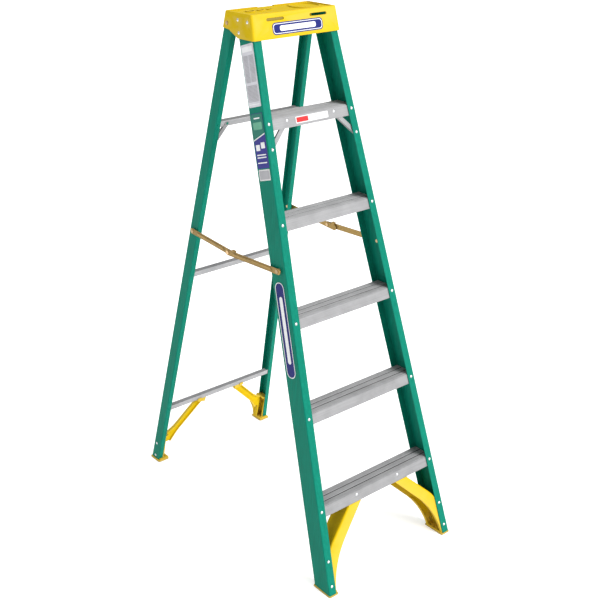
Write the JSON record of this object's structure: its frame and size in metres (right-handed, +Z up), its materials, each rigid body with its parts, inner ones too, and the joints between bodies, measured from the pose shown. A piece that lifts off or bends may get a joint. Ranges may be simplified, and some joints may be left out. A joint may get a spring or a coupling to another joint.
{
  "type": "folding step ladder",
  "caption": "Folding step ladder with two pairs of channel rails, ribbed treads, a moulded tool-tray top, knee-braced feet and hinged spreader arms.",
  "frame": {"origin": "on the floor at the centre of the open ladder's footprint box", "axes": "+Z up, +Y from the climber's side towards the rear legs, +X to the climber's right"},
  "size_m": [0.556, 1.083, 1.7484],
  "materials": {
    "rail_fibreglass": "moulded glass-fibre, semi-gloss",
    "cap_plastic": "moulded, fine texture",
    "foot_plastic": "moulded, satin",
    "sole_rubber": "ribbed tread",
    "step_aluminium": "extruded, satin",
    "rivet_aluminium": "bright",
    "spreader_steel": "yellow zinc plated",
    "pin_steel": "plated",
    "washer_nylon": "natural nylon",
    "label_grey": "printed vinyl",
    "label_green": "printed vinyl",
    "label_white": "printed vinyl",
    "decal_navy": "printed vinyl"
  },
  "bodies": {
    "front_frame": {"cap_decal": "decal_navy", "fold_pivot_pins": "pin_steel", "fold_pivot_washers": "washer_nylon", "front_foot_left": "foot_plastic", "front_foot_right": "foot_plastic", "front_foot_rivets": "rivet_aluminium", "front_rail_left": "rail_fibreglass", "front_rail_right": "rail_fibreglass", "front_sole_left": "sole_rubber", "front_sole_right": "sole_rubber", "instruction_label": "label_grey", "side_decal": "decal_navy", "size_label": "label_green", "small_label": "label_white", "spreader_front_bushes": "pin_steel", "spreader_front_pins": "pin_steel", "step_1": "step_aluminium", "step_2": "step_aluminium", "step_3": "step_aluminium", "step_4": "step_aluminium", "step_5": "step_aluminium", "step_label": "label_white", "step_rivets": "rivet_aluminium", "top_cap": "cap_plastic", "top_cap_rivets": "rivet_aluminium", "top_step_brace_left": "step_aluminium", "top_step_brace_right": "step_aluminium", "top_step_brace_rivets": "rivet_aluminium"},
    "spreader_front_left": {"elbow_rivet_front_left": "pin_steel", "spreader_front_arm_left": "spreader_steel"},
    "spreader_front_right": {"elbow_rivet_front_right": "pin_steel", "spreader_front_arm_right": "spreader_steel"},
    "spreader_rear_left": {"elbow_rivet_rear_left": "pin_steel", "spreader_rear_arm_left": "spreader_steel"},
    "spreader_rear_right": {"elbow_rivet_rear_right": "pin_steel", "spreader_rear_arm_right": "spreader_steel"},
    "rear_frame": {"rear_bar_bottom": "step_aluminium", "rear_bar_middle": "step_aluminium", "rear_bar_rivets": "rivet_aluminium", "rear_bar_top": "step_aluminium", "rear_foot_left": "foot_plastic", "rear_foot_right": "foot_plastic", "rear_foot_rivets": "rivet_aluminium", "rear_rail_left": "rail_fibreglass", "rear_rail_right": "rail_fibreglass", "rear_sole_left": "sole_rubber", "rear_sole_right": "sole_rubber", "rear_top_brace_left": "step_aluminium", "rear_top_brace_right": "step_aluminium", "rear_top_brace_rivets": "rivet_aluminium", "spreader_rear_bushes": "pin_steel", "spreader_rear_pins": "pin_steel"}
  },
  "joints": [
    {"name": "rear_fold", "type": "hinge", "parent": "front_frame", "child": "rear_frame", "pos_m": [0, 0.0878, 1.7132], "axis": [-1, 0, 0], "range_deg": [0, 30.6]},
    {"name": "front_arm_left", "type": "hinge", "parent": "front_frame", "child": "spreader_front_left", "pos_m": [-0.212, -0.2057, 1.008], "axis": [1, 0, 0], "range_deg": [0, 57.8]},
    {"name": "rear_arm_left", "type": "hinge", "parent": "rear_frame", "child": "spreader_rear_left", "pos_m": [-0.212, 0.2619, 1.0074], "axis": [-1, 0, 0], "range_deg": [0, 81.7]},
    {"name": "front_arm_right", "type": "hinge", "parent": "front_frame", "child": "spreader_front_right", "pos_m": [0.212, -0.2057, 1.008], "axis": [1, 0, 0], "range_deg": [0, 57.8]},
    {"name": "rear_arm_right", "type": "hinge", "parent": "rear_frame", "child": "spreader_rear_right", "pos_m": [0.212, 0.2619, 1.0074], "axis": [-1, 0, 0], "range_deg": [0, 81.7]}
  ],
  "couplings": [
    {"joint": "front_arm_left", "follows": "rear_fold", "ratio": 1.8772},
    {"joint": "rear_arm_left", "follows": "rear_fold", "ratio": 2.6577},
    {"joint": "front_arm_right", "follows": "rear_fold", "ratio": 1.8772},
    {"joint": "rear_arm_right", "follows": "rear_fold", "ratio": 2.6577}
  ]
}
